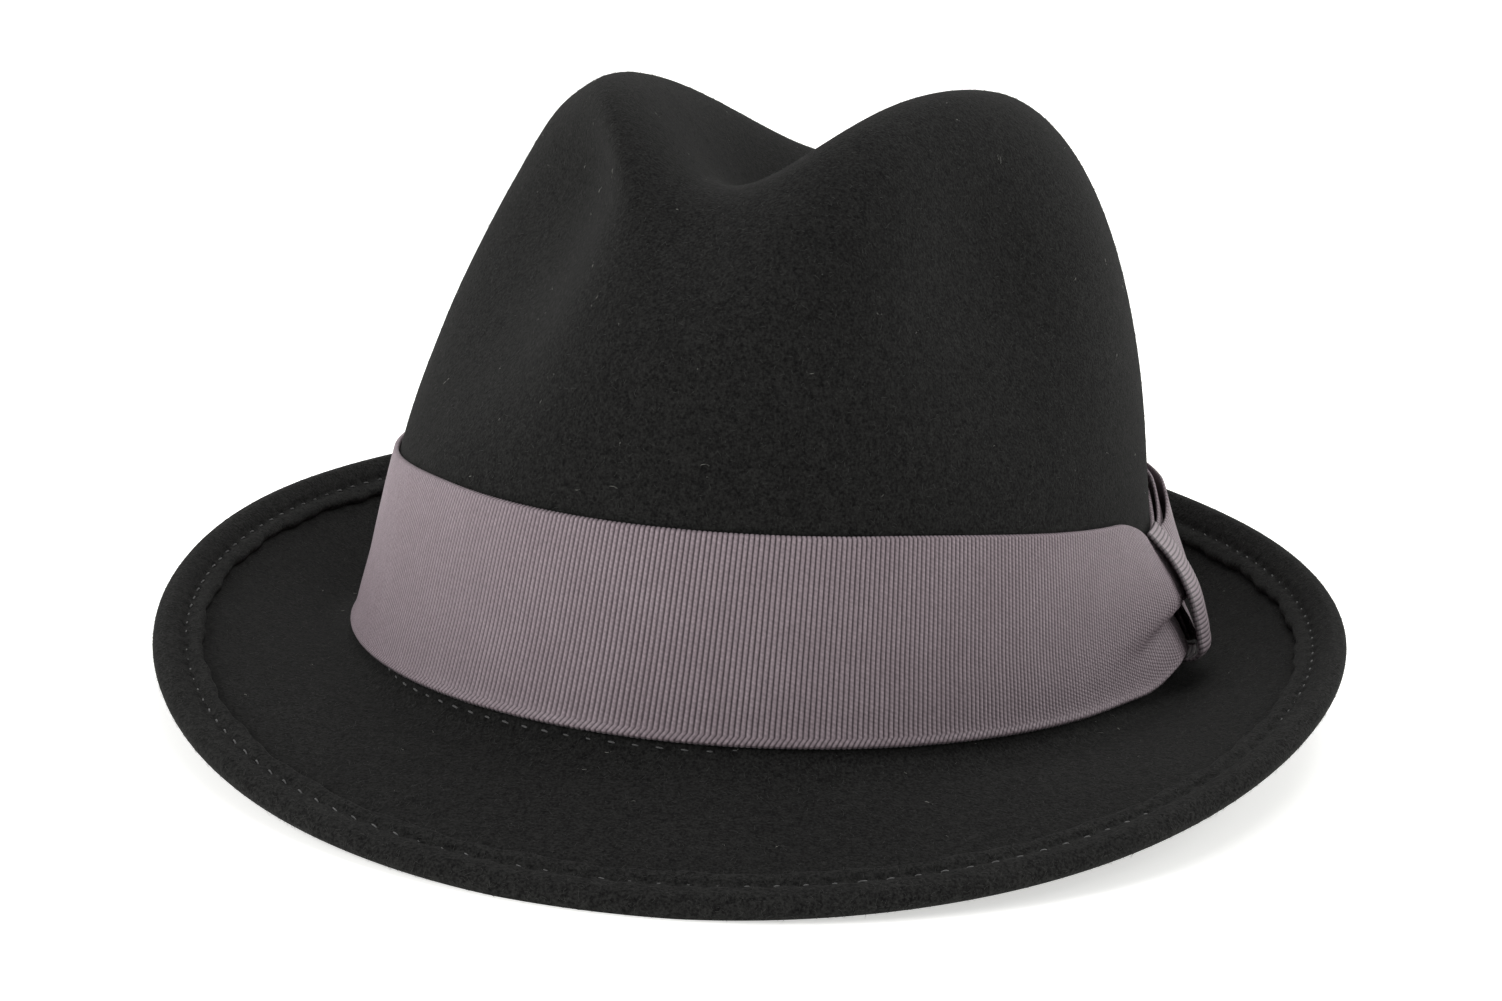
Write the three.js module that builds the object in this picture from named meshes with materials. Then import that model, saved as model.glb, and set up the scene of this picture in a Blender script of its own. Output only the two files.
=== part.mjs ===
import * as THREE from "three";

// A black felt trilby with a grosgrain ribbon, creased and pinched crown, and a turned-over brim edge.
// Lengths are millimetres. The hat's own frame has its origin in the middle of the head opening, where
// crown and brim meet, with -Y to the front, +X to the wearer's left and +Z up. Angles go round the
// head in degrees, from 0 at the front through 90 at the wearer's left. At the end the hat is tipped
// back until it rests on its front edge and the back of its brim.

// Felt
const headLength = 198;
const headWidth = 168;
const feltThickness = 2;

// Crown, before its dents are pushed in
const crownHeight = 132;
const crownSquareness = 3.65;
const sideTaper = 0.193;
const endTaper = 0.005;
const frontNarrowing = 0.052;
const tipNarrowing = 0.1;
const backSlope = 0.058;

// Waist that the ribbon pulls into the sides, and the sunken top of the hump on the wearer's right
const waistDepth = 0.7;
const waistHeight = 42;
const waistReach = 18;
const settleDrop = 2.3;
const settleSide = -47;
const settleWidth = 10;
const settleLength = 30;
const settleLow = 85;
const settleHigh = 105;

// Crease along the top, deepest in the middle
const creaseWidth = 26;
const creaseLength = 91;
const creaseDepth = 38;
const creaseFrontDepth = 23.3;
const creaseBackDepth = 9;
const creaseSkew = 4.9;

// Pinches, one on each side of the front, which die out where the ribbon holds the felt round
const pinchAngle = 43.4;
const pinchDepth = 15.9;
const pinchWidth = 34.1;
const pinchHeight = 92.6;
const pinchAbove = 25.8;
const pinchBelow = 32.5;
const pinchLean = -0.1;
const pinchFadeLow = 30;
const pinchFadeHigh = 65;
const pinchFadeShare = 0.6;

// Brim, and its edge turned over onto the top as a welt
const brimWidth = 46;
const breakRadius = 9;
const weltWidth = 10;
const weltThickness = 1.8;
const restSink = 0.5;

// Ribbon
const ribbonWidth = 37.8;
const ribbonThickness = 1;
const ribbonHeight = 4.4;
const ribbonClimb = 2.6;
const ribbonDip = 4;
const sagFrom = 30;
const ribbonSagAfter = 60;
const loopSagAfter = 22;
const ribbonGap = 0.4;

// Bow, with its knot on the wearer's left
const knotAngle = 92;
const knotWidth = 14.5;
const knotRise = 10.4;
const knotFrontDrop = -0.3;
const knotShoulder = 0.6;
const knotFrontSlope = 0.1;
const knotBackSlope = 0.03;
const gatherRise = 8.7;
const gatherReach = 24;
const gatherReachFoot = 12;
const gatherReachTop = 13;
const gatherPress = 0.25;
const gatherFade = 2.4;
const pleatAtKnot = 0.345;
const pleatAtFront = 0.2;
const loopLength = 40;
const loopOpening = 0.8;
const loopClear = 0.4;
const loopArchOuter = 2;
const loopArchInner = 0.8;
const loopArchStart = 0.06;
const loopEndRound = 0.6;
const loopPuffOuter = 0.55;
const loopPuffInner = 0.3;
const loopPuffAtKnot = 0.75;
const loopPuffFade = 1.5;
const fanFrom = 0.02;
const fanTo = 0.5;

// Fineness of the faceted surfaces
const columns = 72;
const crownRows = 14;
const sideRows = 4;
const brimRows = 4;

// The brim's edge at five angles: reach level with the head opening, lift above it, both as shares of
// the brim's width, and curl, which bends the brim up late when it is over 1.
const brimEdge = [
  { angle: 0, reach: 1.033, lift: -0.306, curl: 0.97 },
  { angle: 45, reach: 0.975, lift: -0.09, curl: 0.98 },
  { angle: 90, reach: 0.842, lift: 0.337, curl: 1 },
  { angle: 135, reach: 0.718, lift: 0.608, curl: 1.02 },
  { angle: 180, reach: 0.67, lift: 0.775, curl: 1.03 },
];

// The two pinches, which a hand made unlike: side of the hat, and height, depth, width and reach above
// and below as shares of the named ones.
const pinches = [
  { side: -1, height: 1.045, depth: 1.415, width: 1.205, above: 0.845, below: 1.24 },
  { side: 1, height: 0.955, depth: 0.585, width: 0.795, above: 1.155, below: 0.76 },
];

// The ribbon across its width where it is gathered before the knot, from its lower edge to its upper:
// height as a share of the ribbon's width, out from the felt as a share of the gather's rise.
const gatherSection = [
  { across: 0, height: 0.13, out: 0.83 },
  { across: 0.15, height: 0.22, out: 0.65 },
  { across: 0.28, height: 0.335, out: 0.42 },
  { across: 0.36, height: 0.38, out: 0.64 },
  { across: 0.46, height: 0.44, out: 0.74 },
  { across: 0.63, height: 0.545, out: 0.56 },
  { across: 0.82, height: 0.655, out: 0.3 },
  { across: 1, height: 0.75, out: 0.05 },
];

// The knot's strip from the top of the ribbon, out over the gathers and back under them: height as a
// share of the ribbon's width, out as a share of the knot's rise.
const knotSection = [
  { height: 0.8, out: 0.14 },
  { height: 0.77, out: 0.19 },
  { height: 0.725, out: 0.27 },
  { height: 0.675, out: 0.4 },
  { height: 0.61, out: 0.56 },
  { height: 0.533, out: 0.7 },
  { height: 0.45, out: 0.84 },
  { height: 0.35, out: 0.93 },
  { height: 0.18, out: 1 },
  { height: 0.12, out: 0.97 },
  { height: 0.1, out: 0.7 },
  { height: 0.09, out: 0.35 },
  { height: 0.085, out: 0.01 },
];

const outerLength = headLength / 2 + feltThickness;
const outerWidth = headWidth / 2 + feltThickness;
const rimRadius = (feltThickness + weltThickness) / 2;
const ribbonTop = ribbonHeight + ribbonWidth;
const ribbonSeat = ribbonGap + ribbonThickness / 2;
const knotHalfAngle = THREE.MathUtils.radToDeg(knotWidth / 2 / (outerWidth + knotRise / 2));
const knotStart = knotAngle - knotHalfAngle;
const knotEnd = knotAngle + knotHalfAngle;

// Value at an angle of a column given at 0, 45, 90, 135 and 180 degrees, as the one polynomial in the
// angle's cosine that passes through them, so that both sides match and the front and back are smooth.
function around(table, column, angle) {
  const at = Math.cos(THREE.MathUtils.degToRad(angle));
  const nodes = table.map((row) => Math.cos(THREE.MathUtils.degToRad(row.angle)));
  let total = 0;
  for (let i = 0; i < nodes.length; i++) {
    let share = table[i][column];
    for (let j = 0; j < nodes.length; j++) {
      if (j !== i) share *= (at - nodes[j]) / (nodes[i] - nodes[j]);
    }
    total += share;
  }
  return total;
}

// Value of a column between the rows of a table, along another column that rises.
function between(table, along, column, at) {
  let i = 0;
  while (i < table.length - 2 && table[i + 1][along] < at) i++;
  const share = (at - table[i][along]) / (table[i + 1][along] - table[i][along]);
  return THREE.MathUtils.lerp(table[i][column], table[i + 1][column], share);
}

// Level direction out of the head's oval at an angle.
function outward(angle) {
  const turn = THREE.MathUtils.degToRad(angle);
  return new THREE.Vector3(Math.sin(turn) / outerWidth, -Math.cos(turn) / outerLength, 0).normalize();
}

// The crown's outer face before the dents. Spread and rise are shares of the full width and height.
function openCrown(angle, spread, rise) {
  const turn = THREE.MathUtils.degToRad(angle);
  const egg = 1 - (frontNarrowing + tipNarrowing * rise) * Math.cos(turn);
  return new THREE.Vector3(
    outerWidth * spread * (1 - sideTaper * rise) * egg * Math.sin(turn),
    -outerLength * spread * (1 - endTaper * rise) * Math.cos(turn),
    crownHeight * rise,
  );
}

// How far the crease lowers the felt at a point of the open crown.
function creaseDrop(point) {
  const along = point.y / creaseLength;
  const end = along < 0 ? creaseFrontDepth : creaseBackDepth;
  const depth = THREE.MathUtils.lerp(creaseDepth, end, THREE.MathUtils.smoothstep(Math.abs(along), 0, 1));
  const middle = creaseSkew * THREE.MathUtils.clamp(along, -1, 0);
  const across = (point.x - middle) / creaseWidth;
  const top = THREE.MathUtils.smoothstep(point.z / crownHeight, 0.45, 0.9);
  return depth * Math.exp(-across * across) * top;
}

// How far the hump on the wearer's right has sunk at a point of the open crown.
function settled(point) {
  const across = (point.x - settleSide) / settleWidth;
  const along = point.y / settleLength;
  const top = THREE.MathUtils.smoothstep(point.z, settleLow, settleHigh);
  return settleDrop * Math.exp(-across * across - along * along) * top;
}

// How one pinch moves a point of the open crown.
function pinch(point, dent) {
  const turn = THREE.MathUtils.degToRad(pinchAngle);
  const from = new THREE.Vector3(dent.side * Math.sin(turn), -Math.cos(turn), 0);
  const beside = new THREE.Vector3(dent.side * Math.cos(turn), Math.sin(turn), 0);
  const above = point.z - pinchHeight * dent.height;
  const up = above / (above > 0 ? pinchAbove * dent.above : pinchBelow * dent.below);
  const off = (point.dot(beside) + pinchLean * above) / (pinchWidth * dent.width);
  const near = THREE.MathUtils.smoothstep(point.dot(from) / outerWidth, 0, pinchFadeShare);
  const free = THREE.MathUtils.smoothstep(point.z, pinchFadeLow, pinchFadeHigh);
  return from.multiplyScalar(-pinchDepth * dent.depth * Math.exp(-up * up - off * off) * near * free);
}

// The crown's outer face with its crease, waist, pinches and slope to the back.
function crown(angle, spread, rise) {
  const open = openCrown(angle, spread, rise);
  const felt = open.clone();
  const fromWaist = (open.z - waistHeight) / waistReach;
  felt.x -= waistDepth * Math.sin(THREE.MathUtils.degToRad(angle)) * Math.exp(-fromWaist * fromWaist);
  felt.z -= creaseDrop(open) + settled(open) + backSlope * open.y * rise * rise;
  for (const dent of pinches) felt.add(pinch(open, dent));
  return felt;
}

// The crown's outer face at a height on its side wall.
function sideWall(angle, height) {
  const rise = Math.max(height, 0) / crownHeight;
  return crown(angle, (1 - rise ** crownSquareness) ** (1 / crownSquareness), rise);
}

// The brim's top face, a level distance out from the foot of the crown's wall.
function brim(angle, distance) {
  const share = distance / (brimWidth * around(brimEdge, "reach", angle));
  const lift = brimWidth * around(brimEdge, "lift", angle) * share ** around(brimEdge, "curl", angle);
  const point = sideWall(angle, 0).addScaledVector(outward(angle), distance);
  point.z = lift;
  return point;
}

// The bend between crown and brim, from share 0 on the wall to 1 on the brim.
function bend(angle, share) {
  const wall = sideWall(angle, breakRadius).multiplyScalar((1 - share) ** 2);
  const corner = sideWall(angle, 0).multiplyScalar(2 * share * (1 - share));
  return wall.add(corner).add(brim(angle, breakRadius).multiplyScalar(share ** 2));
}

// The felt's outer face at a height, down through the bend.
function feltAt(angle, height) {
  if (height >= breakRadius) return sideWall(angle, height);
  return bend(angle, 1 - Math.sqrt(Math.max(height, 0) / breakRadius));
}

// Rows of the felt's upper face, each a function of the angle, from the tip to the inside of the rim.
function feltRows() {
  const rows = [];
  const ribbonRise = ribbonTop / crownHeight;
  const sideDirection = Math.atan(ribbonRise);
  for (let i = 1; i <= crownRows; i++) {
    const direction = THREE.MathUtils.lerp(Math.PI / 2, sideDirection, i / crownRows);
    const along = Math.cos(direction);
    const up = Math.sin(direction);
    const length = (along ** crownSquareness + up ** crownSquareness) ** (-1 / crownSquareness);
    rows.push({ welted: false, at: (angle) => crown(angle, along * length, up * length) });
  }
  for (let i = 1; i <= sideRows; i++) {
    const height = THREE.MathUtils.lerp(ribbonTop, breakRadius, i / sideRows);
    rows.push({ welted: false, at: (angle) => sideWall(angle, height) });
  }
  const ribbonFoot = 1 - Math.sqrt(ribbonHeight / breakRadius);
  for (const share of [ribbonFoot, (1 + ribbonFoot) / 2, 1]) {
    rows.push({ welted: false, at: (angle) => bend(angle, share) });
  }
  for (let i = 1; i <= brimRows; i++) {
    rows.push({ welted: false, at: (angle) => brimRow(angle, i / brimRows, 0) });
  }
  rows.push({ welted: true, at: (angle) => brimRow(angle, 1, 0.04) });
  rows.push({ welted: true, at: (angle) => brimRow(angle, 1, 0.45) });
  rows.push({ welted: true, at: (angle) => brimRow(angle, 1, 1) });
  return rows;
}

// A row of the brim: a share of the way to the welt, then a share of the way across it to the rim.
function brimRow(angle, toWelt, acrossWelt) {
  const reach = brimWidth * around(brimEdge, "reach", angle);
  const welt = THREE.MathUtils.lerp(breakRadius, reach - weltWidth, toWelt);
  return brim(angle, welt + acrossWelt * (weltWidth - rimRadius));
}

// Unit normals of a sheet given as rows of points that each go once round the hat.
function sheetNormals(sheet) {
  const normal = (i, j) => {
    const row = sheet[i];
    const round = row[(j + 1) % row.length].clone().sub(row[(j + row.length - 1) % row.length]);
    const down = sheet[Math.min(i + 1, sheet.length - 1)][j].clone().sub(sheet[Math.max(i - 1, 0)][j]);
    return down.cross(round).normalize();
  };
  return sheet.map((row, i) => row.map((point, j) => normal(i, j)));
}

// The felt's skin as rings from the tip over the outside, round the rim and up inside to the tip.
function feltRings() {
  const rows = feltRows();
  const angles = Array.from({ length: columns }, (_, j) => (360 * j) / columns);
  const sheet = rows.map((row) => angles.map((angle) => row.at(angle)));
  const normals = sheetNormals(sheet);
  const moved = (i, distance) => sheet[i].map((p, j) => p.clone().addScaledVector(normals[i][j], distance));
  const upper = rows.map((row, i) => moved(i, row.welted ? weltThickness : 0));
  const lower = rows.map((row, i) => moved(i, -feltThickness));
  const last = rows.length - 1;
  const rim = [45, 0, -45].map((degrees) => {
    const turn = THREE.MathUtils.degToRad(degrees);
    return sheet[last].map((point, j) => {
      const out = point.clone().sub(sheet[last - 1][j]).normalize();
      return point
        .clone()
        .addScaledVector(normals[last][j], (weltThickness - feltThickness) / 2 + rimRadius * Math.sin(turn))
        .addScaledVector(out, rimRadius * Math.cos(turn));
    });
  });
  return [...upper, ...rim, ...lower.reverse()];
}

// Closed body from rings of points. The rings join end to end, or else each end is closed by a fan.
function body(rings, joined) {
  const size = rings[0].length;
  const points = rings.flat();
  const faces = [];
  const steps = joined ? rings.length : rings.length - 1;
  for (let i = 0; i < steps; i++) {
    for (let j = 0; j < size; j++) {
      const a = i * size + j;
      const b = i * size + ((j + 1) % size);
      const c = ((i + 1) % rings.length) * size + j;
      const d = ((i + 1) % rings.length) * size + ((j + 1) % size);
      faces.push([a, c, b], [b, c, d]);
    }
  }
  if (!joined) {
    const middle = (ring) => ring.reduce((sum, p) => sum.add(p), new THREE.Vector3()).divideScalar(size);
    const start = points.push(middle(rings[0])) - 1;
    const end = points.push(middle(rings[rings.length - 1])) - 1;
    const offset = (rings.length - 1) * size;
    for (let j = 0; j < size; j++) {
      faces.push([start, j, (j + 1) % size]);
      faces.push([end, offset + ((j + 1) % size), offset + j]);
    }
  }
  const volume = faces.reduce((sum, [a, b, c]) => {
    return sum + points[a].dot(new THREE.Vector3().crossVectors(points[b], points[c]));
  }, 0);
  if (volume < 0) faces.forEach((face) => face.reverse());
  const geometry = new THREE.BufferGeometry();
  geometry.setAttribute("position", new THREE.Float32BufferAttribute(points.flatMap((p) => p.toArray()), 3));
  geometry.setIndex(faces.flat());
  geometry.computeVertexNormals();
  return geometry;
}

// Share from 0 to 1 of the way to the knot, from a reach in degrees before it.
function towardsKnot(angle, reach) {
  return THREE.MathUtils.clamp((angle - knotStart + reach) / reach, 0, 1);
}

// How tightly the ribbon is gathered at an angle and a share across its width, from 0 to 1, drawn in
// ever faster towards the knot.
function gather(angle, across) {
  const reach = THREE.MathUtils.lerp(gatherReachFoot, gatherReachTop, across);
  const after = THREE.MathUtils.smoothstep(angle, knotEnd, knotEnd + gatherReachTop);
  return towardsKnot(angle, reach) ** 2 * (1 - after);
}

// How far the gathers stand out at an angle: fullest just before the knot, and pressed flat beneath it.
function gatherBulge(angle) {
  const pressed = 1 - gatherPress * THREE.MathUtils.smoothstep(angle, knotStart - 2, knotStart);
  const under = THREE.MathUtils.smoothstep(angle, knotAngle - 1, knotEnd - 1);
  return towardsKnot(angle, gatherReach) ** gatherFade * pressed * (1 - under);
}

// Share across the ribbon at which a row of the gather's section lies, so that the pleat runs down
// towards the lower edge on its way to the front.
function pleated(angle, row) {
  const at = THREE.MathUtils.lerp(pleatAtFront, pleatAtKnot, towardsKnot(angle, gatherReach));
  return row.across ** (Math.log(at) / Math.log(pleatAtKnot));
}

// Height of the ribbon's lower edge, which climbs where the brim turns up steeply and crowds it.
function ribbonFoot(angle) {
  const turnedUp = Math.max(brim(angle, breakRadius).z, 0) / breakRadius;
  return ribbonHeight + ribbonClimb * turnedUp ** 2;
}

// How far an upper edge sinks at an angle, because the knot pulls it down, when it recovers a number of
// degrees after the knot.
function sag(angle, after) {
  const before = THREE.MathUtils.smoothstep(angle, sagFrom, knotStart);
  return ribbonDip * before * (1 - THREE.MathUtils.smoothstep(angle, knotEnd, knotEnd + after));
}

// Ribbon surface at an angle and a row of the gather's section, at an extra distance out from its
// middle. The crown's slope to the back is taken out again, because the ribbon goes level round the hat.
function ribbonPoint(angle, row, extra) {
  const across = pleated(angle, row);
  const open = (ribbonWidth - sag(angle, ribbonSagAfter)) * across;
  const drawn = ribbonWidth * row.height;
  const height = ribbonFoot(angle) + THREE.MathUtils.lerp(open, drawn, gather(angle, across));
  const out = gatherRise * row.out * gatherBulge(angle);
  const point = feltAt(angle, height).addScaledVector(outward(angle), ribbonSeat + out + extra);
  point.z += backSlope * point.y * (height / crownHeight) ** 2;
  return point;
}

// Angles round the ribbon, twice as close together where it is gathered.
function ribbonAngles() {
  const step = 360 / columns;
  const angles = [];
  for (let angle = 0; angle < 360 - step / 4; ) {
    angles.push(angle);
    const close = Math.abs(angle - knotAngle) < gatherReach + knotHalfAngle;
    angle += close ? step / 2 : step;
  }
  return angles;
}

// The ribbon round the crown as one closed strip, gathered at the knot.
function ribbonBand() {
  const half = ribbonThickness / 2;
  const rings = ribbonAngles().map((angle) => [
    ...gatherSection.map((row) => ribbonPoint(angle, row, half)),
    ...gatherSection.toReversed().map((row) => ribbonPoint(angle, row, -half)),
  ]);
  return body(rings, true);
}

// The knot: a strip of ribbon wrapped over the gathers, its front edge drawn in further than its back.
function bowKnot() {
  const half = ribbonThickness / 2;
  const path = knotSection.map((row) => {
    return new THREE.Vector2(knotRise * row.out, ribbonFoot(knotAngle) + ribbonWidth * row.height);
  });
  const widths = [-1, -knotShoulder, 0, knotShoulder, 1];
  const rings = path.map((point, i) => {
    const ahead = path[Math.min(i + 1, path.length - 1)].clone().sub(path[Math.max(i - 1, 0)]).normalize();
    const side = (share, extra) => {
      const angle = knotAngle + share * knotHalfAngle;
      const fullness = point.x / knotRise;
      const front = knotFrontSlope * point.x + knotFrontDrop * 4 * fullness * (1 - fullness);
      const edge = share < 0 ? front : knotBackSlope * point.x;
      const out = ribbonGap + half + point.x - edge * share * share - ahead.y * extra;
      const height = point.y + ahead.x * extra;
      const seat = sideWall(angle, Math.max(height, breakRadius)).addScaledVector(outward(angle), out);
      seat.z = height;
      return seat;
    };
    return [...widths.map((s) => side(s, half)), ...widths.toReversed().map((s) => side(s, -half))];
  });
  return body(rings, false);
}

// How far the loop arches away from the crown, from 0 to 1, at a share of its length: most near the knot.
function loopArch(share) {
  const left = THREE.MathUtils.clamp((1 - share) / (1 - loopArchStart), 0, 1);
  return 27 / 4 * left ** 2 * (1 - left);
}

// The loop behind the knot: a doubled length of ribbon, gathered like the ribbon at the knot and folded
// at its free end, where it spreads to the ribbon's full width.
function bowLoop() {
  const layer = (ribbonThickness + loopOpening) / 2;
  const half = ribbonThickness / 2;
  const first = knotEnd + loopClear;
  const span = THREE.MathUtils.radToDeg(loopLength / outerWidth);
  const shares = [0, 0.1, 0.22, 0.35, 0.5, 0.67, 0.85];
  const path = [
    ...shares.map((share) => ({ share, layer: -layer })),
    { share: 1, layer: -layer * loopEndRound },
    { share: 1.015, layer: 0 },
    { share: 1, layer: layer * loopEndRound },
    ...shares.toReversed().map((share) => ({ share, layer })),
  ];
  const middle = (step, row) => {
    const angle = first + span * step.share;
    const fan = THREE.MathUtils.smoothstep(step.share, fanFrom, fanTo);
    const open = (ribbonWidth - sag(angle, loopSagAfter)) * row.across;
    const height = ribbonFoot(angle) + THREE.MathUtils.lerp(ribbonWidth * row.height, open, fan);
    const puff = step.layer > 0 ? loopPuffOuter : loopPuffInner;
    const full = puff * THREE.MathUtils.lerp(loopPuffAtKnot, 1, fan);
    const bulge = gatherRise * row.out * full * Math.max(1 - step.share, 0) ** loopPuffFade;
    const arched = (step.layer > 0 ? loopArchOuter : loopArchInner) * loopArch(step.share);
    const out = ribbonSeat + ribbonThickness + ribbonGap + layer + step.layer + bulge + arched;
    return feltAt(angle, height).addScaledVector(outward(angle), out);
  };
  const rings = path.map((step, i) => {
    const before = path[Math.max(i - 1, 0)];
    const after = path[Math.min(i + 1, path.length - 1)];
    const side = (row, extra) => {
      const ahead = middle(after, row).sub(middle(before, row)).setZ(0).normalize();
      const normal = new THREE.Vector3(ahead.y, -ahead.x, 0);
      return middle(step, row).addScaledVector(normal, extra);
    };
    return [
      ...gatherSection.map((row) => side(row, half)),
      ...gatherSection.toReversed().map((row) => side(row, -half)),
    ];
  });
  return body(rings, false);
}

// Height of a point over the table's plane when the hat is tipped back by a tilt in radians.
function tipped(point, tilt) {
  return point.z * Math.cos(tilt) - point.y * Math.sin(tilt);
}

// The tilt at which the front and the back of the hat touch the table together.
function restingTilt(points) {
  const lowest = (half, tilt) => half.reduce((low, p) => (tipped(p, tilt) < tipped(low, tilt) ? p : low));
  const front = points.filter((p) => p.y < 0);
  const back = points.filter((p) => p.y >= 0);
  let tilt = 0;
  for (let turn = 0; turn < 8; turn++) {
    const f = lowest(front, tilt);
    const b = lowest(back, tilt);
    tilt = Math.atan2(b.z - f.z, b.y - f.y);
  }
  return tilt;
}

// Presses what would sink below the table flat against it.
function flattenAtTable(points, tilt) {
  const level = points.reduce((low, p) => Math.min(low, tipped(p, tilt)), Infinity) + restSink;
  const up = new THREE.Vector3(0, -Math.sin(tilt), Math.cos(tilt));
  for (const point of points) point.addScaledVector(up, Math.max(level - tipped(point, tilt), 0));
}

function piece(name, geometry, material) {
  const mesh = new THREE.Mesh(geometry, material);
  mesh.name = name;
  return mesh;
}

const felt = new THREE.MeshStandardMaterial({ color: "#262626", roughness: 0.95, metalness: 0 });
const bandRibbon = new THREE.MeshStandardMaterial({ color: "#857a7e", roughness: 0.75, metalness: 0 });
const loopRibbon = bandRibbon.clone();
const knotRibbon = bandRibbon.clone();

const feltSkin = feltRings();
const tilt = restingTilt(feltSkin.flat());
flattenAtTable(feltSkin.flat(), tilt);

const hat = new THREE.Group();
hat.add(piece("felt_body", body(feltSkin, false), felt));
hat.add(piece("ribbon_band", ribbonBand(), bandRibbon));
hat.add(piece("bow_loop", bowLoop(), loopRibbon));
hat.add(piece("bow_knot", bowKnot(), knotRibbon));
hat.rotation.x = -tilt;

const trilby = new THREE.Group();
trilby.add(hat);
const box = new THREE.Box3().setFromObject(trilby, true);
const middle = box.getCenter(new THREE.Vector3());
hat.position.set(-middle.x, -middle.y, -box.min.z);

export default trilby;
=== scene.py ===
import math

import bpy
import numpy as np
from mathutils import Matrix, Vector


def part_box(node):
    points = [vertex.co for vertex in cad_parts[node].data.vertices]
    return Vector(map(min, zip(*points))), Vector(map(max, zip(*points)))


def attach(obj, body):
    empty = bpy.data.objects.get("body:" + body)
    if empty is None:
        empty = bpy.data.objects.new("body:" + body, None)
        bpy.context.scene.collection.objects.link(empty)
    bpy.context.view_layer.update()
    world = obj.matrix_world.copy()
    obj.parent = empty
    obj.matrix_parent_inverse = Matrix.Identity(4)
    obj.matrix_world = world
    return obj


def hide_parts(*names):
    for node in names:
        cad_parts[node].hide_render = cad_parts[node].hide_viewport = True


# A black felt trilby with a grosgrain ribbon and a side bow. Shapes are worked out in millimetres in the
# hat's own frame (middle of the head opening, -Y front, +X the wearer's left, angles from 0 at the front
# through 90 at the wearer's left), then tipped back onto the table and turned to metres.
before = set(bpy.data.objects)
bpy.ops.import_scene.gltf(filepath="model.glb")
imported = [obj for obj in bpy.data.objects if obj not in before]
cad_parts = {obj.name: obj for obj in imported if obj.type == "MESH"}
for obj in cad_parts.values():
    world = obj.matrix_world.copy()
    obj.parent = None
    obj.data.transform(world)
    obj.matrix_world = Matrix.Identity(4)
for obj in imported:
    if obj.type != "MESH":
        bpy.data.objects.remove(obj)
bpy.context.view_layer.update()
print("frame loaded")


def linear(hexText):  # sRGB hex to the linear colour that a shader socket takes
    parts = [int(hexText[i:i + 2], 16) / 255 for i in (1, 3, 5)]
    return (*[p / 12.92 if p <= 0.04045 else ((p + 0.055) / 1.055) ** 2.4 for p in parts], 1)


def addNode(tree, kind, sockets=None, **settings):  # a shader node with its settings, values and links
    node = tree.nodes.new("ShaderNode" + kind)
    for name, value in settings.items():
        setattr(node, name, value)
    for socket, value in (sockets or {}).items():
        if isinstance(value, bpy.types.NodeSocket):
            tree.links.new(value, node.inputs[socket])
        else:
            node.inputs[socket].default_value = value
    return node


def eased(value, low, high):  # 0 up to low, 1 from high, smooth between
    t = np.clip((value - low) / (high - low), 0, 1)
    return t * t * (3 - 2 * t)


def within(value, rising, falling):  # eases in over one pair of values and out again over the other
    return eased(value, *rising) * (1 - eased(value, *falling))


def stacked(x, y, z):
    return np.stack(np.broadcast_arrays(x, y, z), axis=-1).astype(float)


def unit(v):
    return v / np.maximum(np.linalg.norm(v, axis=-1, keepdims=True), 1e-9)


def lengthAlong(line):  # from the first point of a line to each of its points
    return np.concatenate([[0], np.cumsum(np.linalg.norm(np.diff(line, axis=0), axis=1))])


def throughRows(table, column, at):  # smooth curve through a column of a table, along its first column
    xs = np.array([row[0] for row in table], float)
    ys = np.array([row[column] for row in table], float)
    slopes = np.gradient(ys, xs)
    i = np.clip(np.searchsorted(xs, at) - 1, 0, len(xs) - 2)
    gap = xs[i + 1] - xs[i]
    t = (at - xs[i]) / gap
    start = (2 * t**3 - 3 * t**2 + 1) * ys[i] + (t**3 - 2 * t**2 + t) * gap * slopes[i]
    return start + (3 * t**2 - 2 * t**3) * ys[i + 1] + (t**3 - t**2) * gap * slopes[i + 1]


hood = {
    "headLength": 198, "headWidth": 168, "thickness": 2,
    "crownHeight": 132, "squareness": 3.65, "sideTaper": 0.193, "endTaper": 0.005,  # before its dents
    "frontNarrowing": 0.052, "tipNarrowing": 0.1, "backSlope": 0.058,
    "breakRadius": 9, "handUnevenness": 0.35,
    "waistDepth": 0.7, "waistHeight": 42, "waistReach": 18,  # where the ribbon pulls the sides in
    "ribbonTop": 41.4, "rowGather": 1.15,  # rows lie evenly below it, and closer towards the tip above it
    "columns": 480, "crownRows": 64, "sideRows": 6, "bendRows": 9, "brimRows": 22,
}
crease = {
    "width": 26, "length": 91, "depth": 38, "frontDepth": 23.3, "backDepth": 9, "skew": 4.9,
    "from": 0.45, "to": 0.9,  # shares of the crown's height over which the felt comes to follow it
}
pinches = [  # side of the hat, angle from the front, height, depth, width, above, below, lean
    (-1, 43.4, 96.8, 22.5, 41.1, 21.8, 40.3, -0.1),
    (1, 43.4, 88.4, 9.3, 27.1, 29.8, 24.7, -0.1),
]
pinchFade = {"from": 30, "to": 65, "share": 0.6}  # the ribbon holds the felt round below them
settle = {"x": -47, "width": 10, "length": 30, "drop": 2.3, "from": 85, "to": 105}  # the higher hump has sunk
brim = {
    "width": 46,
    "edge": [  # angle, reach, lift, curl
        (0, 1.033, -0.306, 0.97),
        (45, 0.975, -0.09, 0.98),
        (90, 0.842, 0.337, 1),
        (135, 0.718, 0.608, 1.02),
        (180, 0.67, 0.775, 1.03),
    ],
}
outerLength = hood["headLength"] / 2 + hood["thickness"]
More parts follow.
